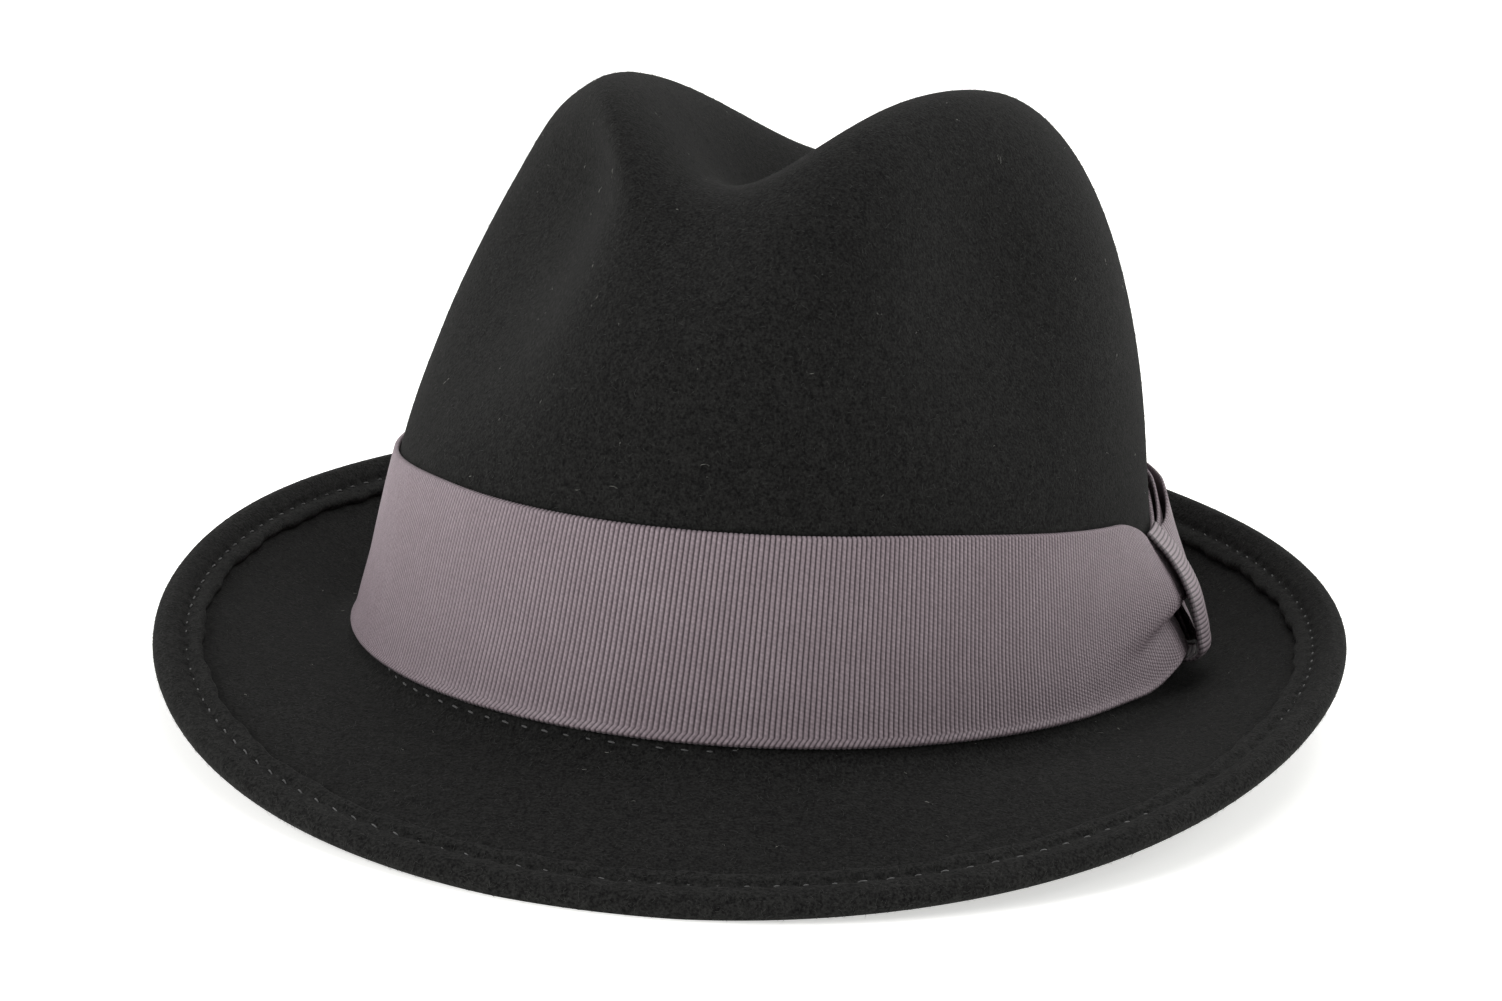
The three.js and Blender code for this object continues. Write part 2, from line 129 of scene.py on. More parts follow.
outerWidth = hood["headWidth"] / 2 + hood["thickness"]


def brimEdge(column, angle):  # one smooth curve round the hat through a column of the edge's table
    at = np.cos(np.radians(angle))
    nodes = [math.cos(math.radians(row[0])) for row in brim["edge"]]
    total = 0
    for i, row in enumerate(brim["edge"]):
        share = row[column]
        for j, node in enumerate(nodes):
            if j != i:
                share = share * (at - node) / (nodes[i] - node)
        total = total + share
    return total


def outward(angle):
    turn = np.radians(angle)
    return unit(stacked(np.sin(turn) / outerWidth, -np.cos(turn) / outerLength, 0))


def crown(angle, spread, rise):
    turn = np.radians(angle)
    egg = 1 - (hood["frontNarrowing"] + hood["tipNarrowing"] * rise) * np.cos(turn)
    p = stacked(
        outerWidth * spread * (1 - hood["sideTaper"] * rise) * egg * np.sin(turn),
        -outerLength * spread * (1 - hood["endTaper"] * rise) * np.cos(turn),
        hood["crownHeight"] * rise,
    )
    x, y, z = p[..., 0], p[..., 1], p[..., 2]
    along = y / crease["length"]
    end = np.where(along < 0, crease["frontDepth"], crease["backDepth"])
    depth = crease["depth"] + (end - crease["depth"]) * eased(np.abs(along), 0, 1)
    across = (x - crease["skew"] * np.clip(along, -1, 0)) / crease["width"]
    drop = depth * np.exp(-across**2) * eased(z / hood["crownHeight"], crease["from"], crease["to"])
    felt = p.copy()
    waist = np.exp(-((z - hood["waistHeight"]) / hood["waistReach"]) ** 2)
    felt[..., 0] -= hood["waistDepth"] * np.sin(turn) * waist
    sunk = np.exp(-((x - settle["x"]) / settle["width"]) ** 2 - (y / settle["length"]) ** 2)
    drop = drop + settle["drop"] * sunk * eased(z, settle["from"], settle["to"])
    felt[..., 2] -= drop + hood["backSlope"] * y * np.asarray(rise) ** 2
    for side, dentAngle, height, dentDepth, width, above, below, lean in pinches:
        bearing = math.radians(dentAngle)
        into = np.array([side * math.sin(bearing), -math.cos(bearing), 0])
        beside = np.array([side * math.cos(bearing), math.sin(bearing), 0])
        over = z - height
        up = over / np.where(over > 0, above, below)
        off = (p @ beside + lean * over) / width
        near = eased(p @ into / outerWidth, 0, pinchFade["share"])
        near = near * eased(z, pinchFade["from"], pinchFade["to"])
        felt -= into * (dentDepth * np.exp(-up**2 - off**2) * near)[..., None]
    return felt


def sideWall(angle, height):
    rise = np.maximum(height, 0) / hood["crownHeight"]
    n = hood["squareness"]
    return crown(angle, (1 - rise**n) ** (1 / n), rise)


def brimTop(angle, distance):
    reach = brim["width"] * brimEdge(1, angle)
    share = np.maximum(distance, 0) / reach
    p = sideWall(angle, 0) + outward(angle) * np.asarray(distance)[..., None]
    p[..., 2] = brim["width"] * brimEdge(2, angle) * share ** brimEdge(3, angle)
    return p


def bend(angle, share):
    t = np.asarray(share)[..., None]
    wall = sideWall(angle, hood["breakRadius"])
    foot = brimTop(angle, hood["breakRadius"] + 0 * np.asarray(angle, float))
    return wall * (1 - t) ** 2 + sideWall(angle, 0) * 2 * t * (1 - t) + foot * t**2


def feltAt(angle, height):
    angle, height = np.broadcast_arrays(np.asarray(angle, float), np.asarray(height, float))
    low = np.clip(height, 0, hood["breakRadius"]) / hood["breakRadius"]
    curved = bend(angle, 1 - np.sqrt(low))
    return np.where((height >= hood["breakRadius"])[..., None], sideWall(angle, height), curved)


handWaves = [(1, 0, 1.7, 0.4), (-0.8, 1.3, 0, 2.1), (0, 0.7, 0.9, 4.4)]  # along x, y and z, and start
handWaveSizes = (21, 24, 19)


def uneven(points):  # long, shallow waves that a hand-blocked felt keeps, the same each run
    x, y, z = [points[..., i] / size for i, size in enumerate(handWaveSizes)]
    waves = [np.sin(a * x + b * y + c * z + start) for a, b, c, start in handWaves]
    return hood["handUnevenness"] * sum(waves) / len(waves)


def sheetNormals(sheet, closed=True):  # a grid of rows that go round the hat, each row a row of columns
    if closed:
        roundIt = np.roll(sheet, -1, axis=1) - np.roll(sheet, 1, axis=1)
    else:
        roundIt = np.gradient(sheet, axis=1)
    return unit(np.cross(np.gradient(sheet, axis=0), roundIt))


def columnAngles(count):
    return np.arange(count) * 360 / count


welt = {
    "width": 10, "thickness": 1.8, "grooveFromEdge": 6.5, "grooveWidth": 0.95, "grooveDepth": 0.7,
    "puff": 0.45, "puffAt": 7.2, "puffWidth": 1.9,  # how it swells between the groove and the rim
    "groovePucker": 0.256, "puffPucker": 0.056,  # deeper and lower where the needle goes through
    "stitchPitch": 5, "columns": 1240, "topRows": 19,
    "underWelt": 2, "lowerRows": (0.45, 0.72, 1),  # how far the brim's upper and lower face run below it
    "rawEdge": [(0.5, -0.35), (0.12, 0.1), (-0.02, 0.6), (0.02, 1.1), (0.22, 1.55), (0.6, 1.78)],  # along, up
    "topFrom": 1.5, "wander": [(0.28, 31, 1), (0.2, 83, 0)],  # the raw edge's size, waves round the hat, start
    "wanderOver": (0.4, 2),
    "rimTurns": range(70, -91, -20),  # degrees, from the top of the rim round to the lower face
}
rimRadius = (hood["thickness"] + welt["thickness"]) / 2


def hoodRows(angle):
    rows = []
    top = hood["ribbonTop"]
    low = math.atan(top / hood["crownHeight"])
    n = hood["squareness"]
    for i in range(1, hood["crownRows"] + 1):
        bearing = math.pi / 2 + (low - math.pi / 2) * (i / hood["crownRows"]) ** hood["rowGather"]
        length = (math.cos(bearing) ** n + math.sin(bearing) ** n) ** (-1 / n)
        rows.append(crown(angle, math.cos(bearing) * length, math.sin(bearing) * length))
    for i in range(1, hood["sideRows"] + 1):
        rows.append(sideWall(angle, top + (hood["breakRadius"] - top) * i / hood["sideRows"]))
    for i in range(1, hood["bendRows"] + 1):
        rows.append(bend(angle, i / hood["bendRows"]))
    reach = brim["width"] * brimEdge(1, angle)
    inner = reach - welt["width"]
    for i in range(1, hood["brimRows"] + 1):
        distance = hood["breakRadius"] + (inner - hood["breakRadius"]) * i / hood["brimRows"]
        rows.append(brimTop(angle, distance))
    rows.append(brimTop(angle, inner + welt["underWelt"]))
    for share in welt["lowerRows"]:
        rows.append(brimTop(angle, inner + share * (welt["width"] - rimRadius)))
    return np.array(rows)


def weltGrid(angle):  # from the raw inner edge over the top and the rim to the brim's lower face
    columns = np.arange(len(angle)) / len(angle)
    inner = brim["width"] * brimEdge(1, angle) - welt["width"]
    rimAt = welt["width"] - rimRadius
    groove = welt["width"] - welt["grooveFromEdge"]
    waves = [size * np.sin(columns * 2 * math.pi * count + start) for size, count, start in welt["wander"]]
    shape = welt["rawEdge"] + [(s, welt["thickness"]) for s in np.linspace(1, rimAt, welt["topRows"])]
    rows = []
    count = round(columnsLength(angle) / welt["stitchPitch"])
    phase = np.cos(columns * 2 * math.pi * count)  # 1 where the needle goes through
    for along, height in shape:
        distance = inner + along + sum(waves) * float(1 - eased(along, *welt["wanderOver"]))
        point = brimTop(angle, distance)
        ahead = brimTop(angle, distance + 0.2)
        beside = brimTop(angle + 0.2, distance)
        normal = unit(np.cross(ahead - point, beside - point))
        valley = math.exp(-((along - groove) / welt["grooveWidth"]) ** 2)
        valley = welt["grooveDepth"] * valley * (1 + welt["groovePucker"] * phase)
        swell = math.exp(-((along - welt["puffAt"]) / welt["puffWidth"]) ** 2)
        swell = welt["puff"] * swell * (1 - welt["puffPucker"] * phase)
        top = height + (swell - valley if height > welt["topFrom"] else 0)
        rows.append(point + normal * np.asarray(top)[..., None])
    last = brimTop(angle, inner + rimAt)
    out = unit(last - brimTop(angle, inner + rimAt - 0.4))
    beside = brimTop(angle + 0.2, inner + rimAt)
    normal = unit(np.cross(out, beside - last))
    middle = (welt["thickness"] - hood["thickness"]) / 2
    for degrees in welt["rimTurns"]:
        turn = math.radians(degrees)
        rows.append(last + normal * (middle + rimRadius * math.sin(turn)) + out * rimRadius * math.cos(turn))
    return np.array(rows), [along for along, height in shape] + [rimAt + 1] * len(welt["rimTurns"])


def columnsLength(angle):  # length round the welt's stitch line
    line = brimTop(angle, brim["width"] * brimEdge(1, angle) - welt["grooveFromEdge"])
    return float(np.linalg.norm(np.roll(line, -1, axis=0) - line, axis=1).sum())


print("felt: blocking the crown and brim")
hoodAngles = columnAngles(hood["columns"])
hoodSheet = hoodRows(hoodAngles)
hoodNormals = sheetNormals(hoodSheet)
hoodUpper = (hoodSheet + hoodNormals * uneven(hoodSheet)[..., None])[:-len(welt["lowerRows"])]
hoodLower = (hoodSheet + hoodNormals * (uneven(hoodSheet) - hood["thickness"])[..., None])[::-1]
weltAngles = columnAngles(welt["columns"])
weltSheet, weltShares = weltGrid(weltAngles)
weltSheet[..., 2] += uneven(weltSheet)

# Tips a shape back onto the table, where the front edge and the back of the brim press down flat.
resting = {"tilt": 4.3243, "sink": 0.5}  # degrees and mm
tiltCos, tiltSin = math.cos(math.radians(resting["tilt"])), math.sin(math.radians(resting["tilt"]))


def tipped(points):
    y, z = points[..., 1], points[..., 2]
    return stacked(points[..., 0], y * tiltCos + z * tiltSin, z * tiltCos - y * tiltSin)


feltPoints = np.concatenate([tipped(grid).reshape(-1, 3) for grid in (hoodUpper, hoodLower, weltSheet)])
table = feltPoints[:, 2].min() + resting["sink"]
lowCorner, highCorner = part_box("felt_body")
middle = (feltPoints.min(0) + feltPoints.max(0)) / 2
shift = np.array([
    (lowCorner.x + highCorner.x) / 2 * 1000 - middle[0],
    (lowCorner.y + highCorner.y) / 2 * 1000 - middle[1],
    lowCorner.z * 1000 - table,
])
print("felt: moved by", [round(float(v), 2) for v in shift])


def placed(points):
    there = tipped(points) + shift
    there[..., 2] = np.maximum(there[..., 2], 0)
    return there / 1000


def addMesh(name, points, faces, uv=None):  # faces may have three or four corners
    mesh = bpy.data.meshes.new(name)
    mesh.from_pydata(points.tolist(), [], faces)
    mesh.polygons.foreach_set("use_smooth", np.ones(len(mesh.polygons), bool))
    if uv is not None:
        corners = np.empty(len(mesh.loops), np.int32)
        mesh.loops.foreach_get("vertex_index", corners)
        layer = mesh.uv_layers.new(name="millimetres")
        layer.data.foreach_set("uv", uv[corners].astype(np.float32).ravel())
    mesh.update()
    piece = bpy.data.objects.new(name, mesh)
    bpy.context.scene.collection.objects.link(piece)
    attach(piece, "root")
    return piece


def gridFaces(rows, columns, closed, first=0):
    across = np.arange(columns if closed else columns - 1)
    down = np.arange(rows - 1)[:, None]
    a = first + down * columns + across
    b = first + down * columns + (across + 1) % columns
    return np.stack([a, a + columns, b + columns, b], axis=-1).reshape(-1, 4).tolist()


def addGrid(name, grid, closed, uv=None):
    faces = gridFaces(*grid.shape[:2], closed)
    return addMesh(name, placed(grid).reshape(-1, 3), faces, None if uv is None else uv.reshape(-1, 2))


def addHood():  # upper and lower face, each closed at the tip by a fan
    columns = hood["columns"]
    tips = [hoodUpper[0].mean(0), hoodLower[-1].mean(0)]
    points = np.concatenate([hoodUpper.reshape(-1, 3), hoodLower.reshape(-1, 3), tips])
    outside = hoodUpper.size // 3
    last = outside + (len(hoodLower) - 1) * columns
    faces = gridFaces(len(hoodUpper), columns, True) + gridFaces(len(hoodLower), columns, True, outside)
    for j in range(columns):
        after = (j + 1) % columns
        faces.append([len(points) - 2, j, after])
        faces.append([len(points) - 1, last + after, last + j])
    return addMesh("felt_hood", placed(points), faces)


feltHood = addHood()
weltAcross = np.array(weltShares)[:, None] + 0 * weltAngles
weltUv = np.stack([weltAngles + 0 * weltAcross, weltAcross], -1)
feltWelt = addGrid("felt_welt", weltSheet, True, weltUv)

band = {
    "width": 37.8, "thickness": 0.7, "height": 4.4,
    "climb": 2.6,  # of the lower edge, where the brim turns up
    "dip": 4, "dipFrom": 30, "dipAfter": 60,  # of the upper edge, which the knot pulls down
    "backDip": 1.3, "backDipIn": (190, 250), "backDipOut": (285, 320),  # of the upper edge behind
    "seat": 0.6, "seatAtBow": 0.5, "closeBefore": 8, "closeAfter": 2, "slackAgain": (130, 160),  # off the felt
    "flare": 0.8, "flareAcross": (0.05, 0.45), "flareAgain": (110, 140),  # of the lower edge, not by the bow
    "lean": 2, "leanIn": (-170, -120), "leanOut": (50, 80),  # degrees from the lower edge to the upper
    "ribPitch": 1.0, "ribDepth": 0.42, "columnsPerRib": 5, "rows": 24,
    "pulledFlat": 0.5, "pulledIn": (45, 85), "pulledOut": (100, 130),  # how the bow's pull flattens the ribs
    "selvedge": 1.3, "edgeRows": 4, "edgeSlant": 0.9, "edgeRound": 0.1, "edgeTurn": (0.3, 0.8),
}
bow = {
    "knotAngle": 92, "knotWidth": 14.5, "knotRise": 10.4, "knotSeat": 0.9,
    "frontDrop": -0.3, "frontSlope": 0.1, "backSlope": 0.03,  # how the knot falls towards its two edges
    "rise": 8.7, "fade": 2.4, "reach": 24, "reachFoot": 12, "reachTop": 13,  # of the gathers
    "press": 0.08, "pressFrom": 2, "tuck": 1,  # the knot presses them and hides their end, in degrees
    "pleatAtKnot": 0.345, "pleatAtFront": 0.2,
    "loopLength": 40, "loopTuck": 0.5, "loopDipAfter": 22, "fanOver": (0.02, 0.5), "clear": 0.2,
    "archEnd": 0.94, "archOuter": 2.0, "archInner": 0.8, "puffOuter": 0.95, "puffInner": 0.8, "puffFade": 1.5,
    "opening": 0.45, "foldSharpness": 0.03,
    "layer": 0.55, "ribDepth": 0.1, "edgeRound": 0.35, "edgeTurn": 0.4,
    "knotColumns": 15, "loopSteps": 401, "loopColumns": 22,
}
gatherRows = [  # across the ribbon from its lower edge, height, out from the felt
    (0, 0.13, 0.83), (0.12, 0.2, 0.7), (0.22, 0.28, 0.53), (0.28, 0.335, 0.38), (0.31, 0.362, 0.42),
    (0.345, 0.366, 0.56), (0.38, 0.385, 0.69), (0.44, 0.43, 0.75), (0.54, 0.49, 0.68), (0.68, 0.575, 0.5),
    (0.84, 0.665, 0.26), (1, 0.75, 0.03),
]
knotHalfAngle = math.degrees(bow["knotWidth"] / 2 / (outerWidth + bow["knotRise"] / 2))
knotStart, knotEnd = bow["knotAngle"] - knotHalfAngle, bow["knotAngle"] + knotHalfAngle


def ribbonFoot(angle):
    turnedUp = np.maximum(brimTop(angle, hood["breakRadius"] + 0 * np.asarray(angle, float))[..., 2], 0)
    return band["height"] + band["climb"] * (turnedUp / hood["breakRadius"]) ** 2


def towardsKnot(angle, reach):  # 0 until the reach before the knot, 1 from the knot on
    return np.clip((angle - knotStart + reach) / reach, 0, 1)


def gathered(angle, across):  # 0 where the ribbon lies open, 1 where it is drawn together
    reach = bow["reachFoot"] + (bow["reachTop"] - bow["reachFoot"]) * across
    return towardsKnot(angle, reach) ** 2 * (1 - eased(angle, knotEnd, knotEnd + bow["reachTop"]))


def gatherBulge(angle):
    pressed = 1 - bow["press"] * eased(angle, knotStart - bow["pressFrom"], knotStart)
    under = eased(angle, bow["knotAngle"] - bow["tuck"], knotEnd - bow["tuck"])
    return towardsKnot(angle, bow["reach"]) ** bow["fade"] * pressed * (1 - under)


def ribbonSeat(angle):  # pulled close to the felt near the bow, a little slack elsewhere
    near = within(angle, (knotStart - band["closeBefore"], knotStart + band["closeAfter"]), band["slackAgain"])
    return band["seat"] + (band["seatAtBow"] - band["seat"]) * near


def pleated(angle, across):  # moves the pleat down the ribbon as it runs out towards the front
    tight = towardsKnot(angle, bow["reach"])
    at = bow["pleatAtFront"] + (bow["pleatAtKnot"] - bow["pleatAtFront"]) * tight
    return across ** (math.log(bow["pleatAtKnot"]) / np.log(at))


def sag(angle, after):  # the knot pulls an upper edge down, which recovers over the angle after it
    return band["dip"] * within(angle, (band["dipFrom"], knotStart), (knotEnd, knotEnd + after))


def ribbonMiddle(angle, across):
    fold = pleated(angle, across)
    tight = gathered(angle, across)
    settled = band["backDip"] * within(angle, band["backDipIn"], band["backDipOut"])
    opened = (band["width"] - sag(angle, band["dipAfter"]) - settled) * across
    height = ribbonFoot(angle) + opened + (band["width"] * throughRows(gatherRows, 1, fold) - opened) * tight
    out = bow["rise"] * throughRows(gatherRows, 2, fold) * gatherBulge(angle)
    byBow = towardsKnot(angle, bow["reach"]) * (1 - eased(angle, *band["flareAgain"]))
    flare = band["flare"] * (1 - eased(across, *band["flareAcross"])) * (1 - byBow)
    point = feltAt(angle, height) + outward(angle) * (ribbonSeat(angle) + flare + out)[..., None]
    point[..., 2] += hood["backSlope"] * point[..., 1] * (height / hood["crownHeight"]) ** 2
    return point


def ribRelief(count, depth, slant=0.0):  # rounded ribs, shifted along by a slant in shares of a rib
    phase = (np.arange(count) / band["columnsPerRib"] + slant) % 1
    return depth * np.sqrt(np.clip(1 - (2 * phase - 1) ** 2, 0, 1))


def ribbonBand():
    fine = np.linspace(0, 360, 3601)
    length = lengthAlong(ribbonMiddle(fine, np.full(fine.shape, 0.5)))
    columns = round(length[-1] / band["ribPitch"]) * band["columnsPerRib"]
    angles = np.interp(np.arange(columns) / columns * length[-1], length, fine)
    selvedge = band["selvedge"] / band["width"]
    edgeSteps = np.linspace(0, selvedge, band["edgeRows"])
    between = np.linspace(selvedge, 1 - selvedge, band["rows"])[1:-1]
    shares = np.concatenate([edgeSteps, between, 1 - edgeSteps[::-1]])
    fromFront = (angles + 180) % 360 - 180
    skewed = band["lean"] * within(fromFront, band["leanIn"], band["leanOut"])
    turned = angles + skewed * (shares[:, None] - 0.5)
    middles = ribbonMiddle(turned % 360, shares[:, None] + 0 * angles[None, :])
    normals = -sheetNormals(middles)
    pulled = 1 - band["pulledFlat"] * within(angles, band["pulledIn"], band["pulledOut"])
    looped = band["edgeSlant"] * np.clip(1 - shares / selvedge, 0, 1)  # the cords turn back at the lower edge
    half = band["thickness"] / 2
    ribs = np.array([ribRelief(columns, band["ribDepth"], slant) for slant in looped])
    relief = (half + ribs * pulled)[..., None]
    outer = middles + normals * relief
    down = unit(middles[0] - middles[1])
    up = unit(middles[-1] - middles[-2])
    lowEdge = [middles[0] - normals[0] * half, middles[0] + down * (band["edgeRound"] + relief[0] / 2)]
    topEdge = [middles[-1] + up * (band["edgeRound"] + relief[-1] / 2), middles[-1] - normals[-1] * half]
    grid = np.concatenate([lowEdge, outer, topEdge])
    u = np.arange(columns) / band["columnsPerRib"] * band["ribPitch"]
    near, far = band["edgeTurn"]
    v = np.concatenate([[-far, -near], shares * band["width"], [band["width"] + near, band["width"] + far]])
    shift = band["ribPitch"] * np.concatenate([looped[:1], looped[:1], looped, [0, 0]])
    uv = np.stack(np.broadcast_arrays(u[None, :] + shift[:, None], v[:, None]), -1)
    return grid, uv, length[-1]


print("ribbon: weaving the ribs")
bandGrid, bandUv, bandLength = ribbonBand()
ribbonPiece = addGrid("ribbon_strip", bandGrid, True, bandUv)
print("ribbon: length round the crown in mm", round(float(bandLength), 1))


def ribbedStrip(name, middles, acrossMm, thickness):  # ribs across it, closed all round
    normals = sheetNormals(middles, closed=False)
    relief = ribRelief(middles.shape[0], bow["ribDepth"])[:, None, None]
    front = middles + normals * (thickness / 2 + relief)
    back = middles - normals * (thickness / 2 + relief)
    side = unit(middles[:, :1] - middles[:, 1:2])
    other = unit(middles[:, -1:] - middles[:, -2:-1])
    firstEdge = middles[:, :1] + side * bow["edgeRound"]
    lastEdge = middles[:, -1:] + other * bow["edgeRound"]
    grid = np.concatenate([front, lastEdge, back[:, ::-1], firstEdge], axis=1)
    turn = bow["edgeTurn"]
    v = np.concatenate([acrossMm, [acrossMm[-1] + turn], acrossMm[::-1], [acrossMm[0] - turn]])
    u = np.arange(len(middles)) / band["columnsPerRib"] * band["ribPitch"]
    uv = np.stack(np.broadcast_arrays(u[:, None], v[None, :]), -1)
    rows, size = grid.shape[:2]
    faces = gridFaces(rows, size, True)
    half = len(acrossMm)
    for first in (0, (rows - 1) * size):
        for k in range(half - 1):
            faces.append([first + k, first + k + 1, first + 2 * half - k - 1, first + 2 * half - k])
        faces.append([first + half - 1, first + half, first + half + 1])
        faces.append([first, first + 2 * half, first + 2 * half + 1])
    return addMesh(name, placed(grid).reshape(-1, 3), faces, uv.reshape(-1, 2))


knotRows = [  # share of the strip's path, height, out
    (0, 0.785, 0.02), (0.06, 0.765, 0.1), (0.13, 0.73, 0.22), (0.22, 0.68, 0.39), (0.33, 0.61, 0.57),
    (0.44, 0.533, 0.73), (0.56, 0.44, 0.87), (0.68, 0.33, 0.96), (0.79, 0.22, 1.02), (0.87, 0.14, 1.01),
    (0.92, 0.105, 0.82), (0.95, 0.095, 0.5), (0.98, 0.09, 0.22), (1, 0.085, 0.01),
]


def knotMiddle(path, across):  # across from -1 at its front edge to 1
    angle = bow["knotAngle"] + across * knotHalfAngle
    full = throughRows(knotRows, 2, path)
    rise = bow["knotRise"] * full
    front = bow["frontSlope"] * rise + bow["frontDrop"] * 4 * full * (1 - full)
    rise = rise - np.where(across < 0, front, bow["backSlope"] * rise) * across**2
    height = ribbonFoot(bow["knotAngle"]) + band["width"] * throughRows(knotRows, 1, path)
    wall = sideWall(angle, np.maximum(height, hood["breakRadius"]))
    point = wall + outward(angle) * (bow["knotSeat"] + rise)[..., None]
    point[..., 2] = height
    return point


def bowKnot():
    fine = np.linspace(0, 1, 400)
    length = lengthAlong(knotMiddle(fine, np.zeros(400)))
    count = round(length[-1] / band["ribPitch"]) * band["columnsPerRib"] + 1
    along = np.linspace(0, length[-1], count)
    path = np.interp(along, length, fine)
    across = np.linspace(-1, 1, bow["knotColumns"])
    middles = knotMiddle(path[:, None] + 0 * across, across + 0 * path[:, None])
    strip = ribbedStrip("knot_strip", middles, across * bow["knotWidth"] / 2, bow["layer"])
    return strip, length[-1]


def loopMiddle(step, across):  # step from -1 at the inner layer's start through 0 at the fold to 1
    layer = (bow["layer"] + bow["opening"]) / 2
    share = np.abs(step)
    side = np.tanh(step / bow["foldSharpness"])
    angle = knotEnd - bow["loopTuck"] + math.degrees(bow["loopLength"] / outerWidth) * (1 - share)
    fan = eased(1 - share, *bow["fanOver"])
    closed = band["width"] * throughRows(gatherRows, 1, across)
    opened = (band["width"] - sag(angle, bow["loopDipAfter"])) * across
    height = ribbonFoot(angle) + closed + (opened - closed) * fan
    bulge = bow["rise"] * throughRows(gatherRows, 2, across) * share ** bow["puffFade"]
    out = ribbonSeat(angle) + band["thickness"] / 2 + bow["layer"] / 2 + bow["clear"] + layer + side * layer
    left = np.clip(share / bow["archEnd"], 0, 1)
    arch = 27 / 4 * left**2 * (1 - left)  # 1 at its highest, two thirds of the way from the fold to the knot
    arch = arch * np.where(step > 0, bow["archOuter"], bow["archInner"])
    out = out + bulge * np.where(step > 0, bow["puffOuter"], bow["puffInner"]) + arch
    return feltAt(angle, height) + outward(angle) * out[..., None]


def bowLoop():
    steps = np.linspace(-1, 1, bow["loopSteps"])
    across = np.linspace(0, 1, bow["loopColumns"])
    middles = loopMiddle(steps[:, None] + 0 * across, across + 0 * steps[:, None])
    strip = ribbedStrip("loop_strip", middles, across * band["width"], bow["layer"])
    return strip, 2 * bow["loopLength"]


print("bow: folding the loop and the knot")
knotPiece, knotLength = bowKnot()
loopPiece, loopLength = bowLoop()

stitching = {
    "length": 2.1, "lengths": (0.7, 1.05), "radius": 0.16, "endThin": 0.45, "rise": 0.1, "plunge": 0.25,
    "slant": 0.16, "footSlant": 0.1, "footPitch": 4.6, "lift": 0.02, "unevenLift": 0.14,
    "onBend": 0.46, "hidden": 0.2, "bendLength": 14,  # where the foot's row runs, as shares of the bend
    "shownIn": (-56, -40), "shownOut": (6, 24),  # the ribbon hides the foot's row beyond these angles
    "sunk": 0.2, "sunkIn": (15, 55), "sunkOut": (150, 190),  # tighter stitches lie deeper on the bow side
    "sides": 6, "steps": 7, "seed": 5,
}


def stitchTubes(name, starts, ends, normals):  # short arched threads between pairs of points
    t = np.linspace(0, 1, stitching["steps"])
    lift = stitching["rise"] * np.sin(math.pi * t) - stitching["plunge"] * (1 - np.sin(math.pi * t)) ** 2
    thin = stitching["endThin"]
    radius = stitching["radius"] * (thin + (1 - thin) * np.sin(math.pi * np.clip(t, 0.04, 0.96)) ** 0.5)
    line = starts[:, None] + (ends - starts)[:, None] * t[None, :, None]
    line = line + normals[:, None] * lift[None, :, None]
    along = unit(ends - starts)
    side = unit(np.cross(normals, along))
    turns = np.arange(stitching["sides"]) * 2 * math.pi / stitching["sides"]
    ring = side[:, None] * np.cos(turns)[None, :, None] + normals[:, None] * np.sin(turns)[None, :, None]
    points = line[:, :, None] + ring[:, None] * radius[None, :, None, None]
    one = gridFaces(stitching["steps"], stitching["sides"], True)
    size = stitching["steps"] * stitching["sides"]
    faces = (np.array(one)[None] + (np.arange(len(starts)) * size)[:, None, None]).reshape(-1, 4)
    return addMesh(name, placed(points.reshape(-1, 3)), faces.tolist())


def stitchRow(name, at, pitch, lift, slant):  # stitches along a closed line on the felt, at(angle, aside)
    angles = np.linspace(0, 360, 2001)
    length = lengthAlong(at(angles, 0))
    count = round(length[-1] / pitch)
    along = (np.arange(count) + 0.5) / count * length[-1]

    def angleAt(distance):
        return np.interp(distance, length, angles)

    centre = at(angleAt(along), 0)
    ahead = at(angleAt(along + 0.3), 0) - centre
    normals = unit(np.cross(at(angleAt(along), 0.2) - centre, ahead))
    chance = np.random.default_rng(stitching["seed"])
    half = stitching["length"] / 2 * chance.uniform(*stitching["lengths"], count)
    sunk = stitching["sunk"] * within(angleAt(along), stitching["sunkIn"], stitching["sunkOut"])
    raised = normals * (lift - stitching["unevenLift"] * chance.random(count) ** 2 - sunk)[:, None]
    raised[:, 2] += uneven(centre)
    starts = at(angleAt(along - half), -slant) + raised
    ends = at(angleAt(along + half), slant) + raised
    return stitchTubes(name, starts, ends, normals)


def weltLine(angle, aside):
    return brimTop(angle, brim["width"] * brimEdge(1, angle) - welt["grooveFromEdge"] + aside)


def bandLine(angle, aside):  # on the bend just below the ribbon at the front, and under the ribbon elsewhere
    away = (angle + 180) % 360 - 180
    shown = within(away, stitching["shownIn"], stitching["shownOut"])
    share = stitching["onBend"] - stitching["hidden"] * (1 - shown) + aside / stitching["bendLength"]
    return bend(angle, share)


print("felt: stitching the welt and the foot of the crown")
weltLift = welt["thickness"] - welt["grooveDepth"] + stitching["lift"]
weltStitches = stitchRow("welt_stitches", weltLine, welt["stitchPitch"], weltLift, stitching["slant"])
footStitches = stitchRow(
    "foot_stitches", bandLine, stitching["footPitch"], stitching["lift"], stitching["footSlant"])

